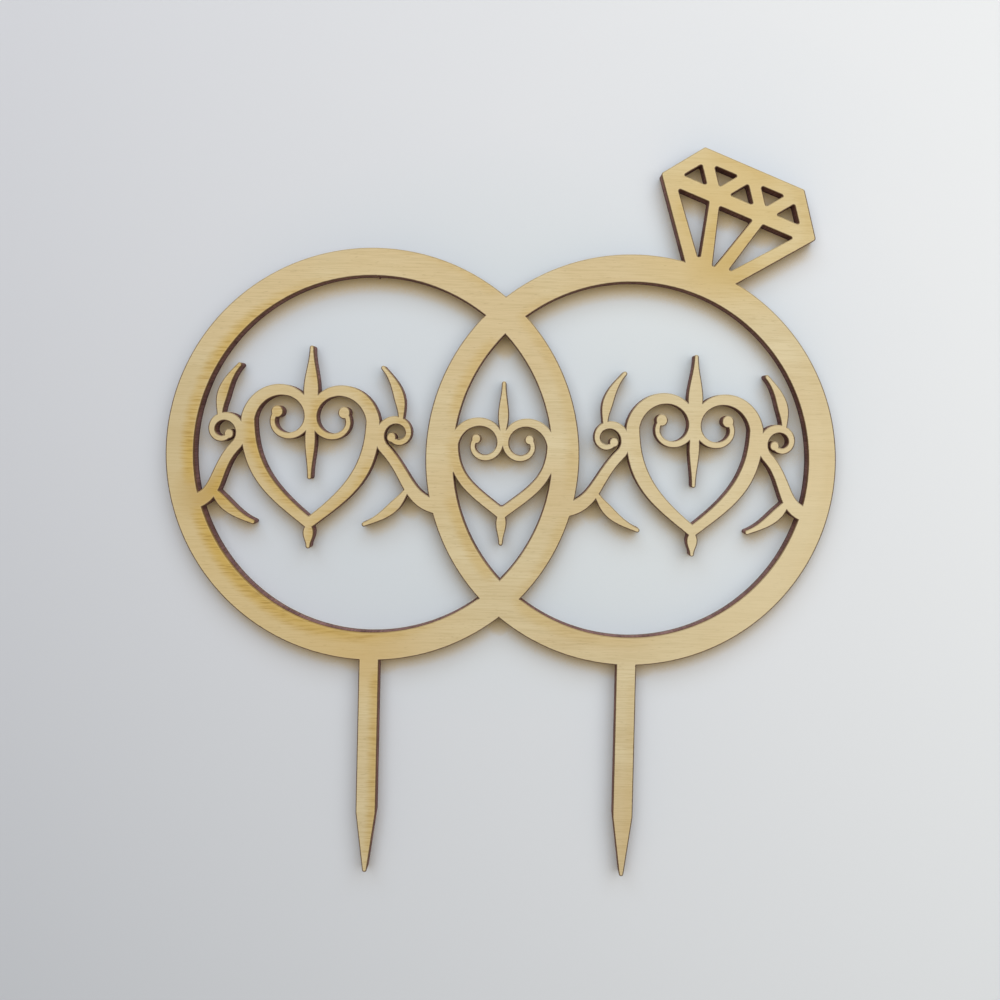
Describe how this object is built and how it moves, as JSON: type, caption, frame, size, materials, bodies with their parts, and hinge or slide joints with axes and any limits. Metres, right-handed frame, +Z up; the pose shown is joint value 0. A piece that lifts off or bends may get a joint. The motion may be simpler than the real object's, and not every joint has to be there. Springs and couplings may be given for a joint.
{
  "type": "cake topper",
  "caption": "Flat laser-cut plywood cake topper: two linked rings, a faceted gem on one, scrollwork in the openings and two pointed stakes that push into a cake.",
  "frame": {"origin": "level with the tips of the two stakes, midway between the rings and at mid thickness of the sheet", "axes": "+Z up along the stakes towards the rings, -Y out of the front face, +X to the viewer's right, towards the ring that carries the gem"},
  "size_m": [0.134, 0.003, 0.1467],
  "materials": {
    "front_veneer": "bare sanded veneer, pale, smoke-stained golden beside the cut edges",
    "core_veneer": "laser-charred edge of the cross-grain core, dark red-brown, matt",
    "back_veneer": "bare sanded veneer, pale, stained brown beside the cut edges"
  },
  "bodies": {
    "root": {"front_veneer": "front_veneer", "core_veneer": "core_veneer", "back_veneer": "back_veneer"}
  },
  "joints": []
}
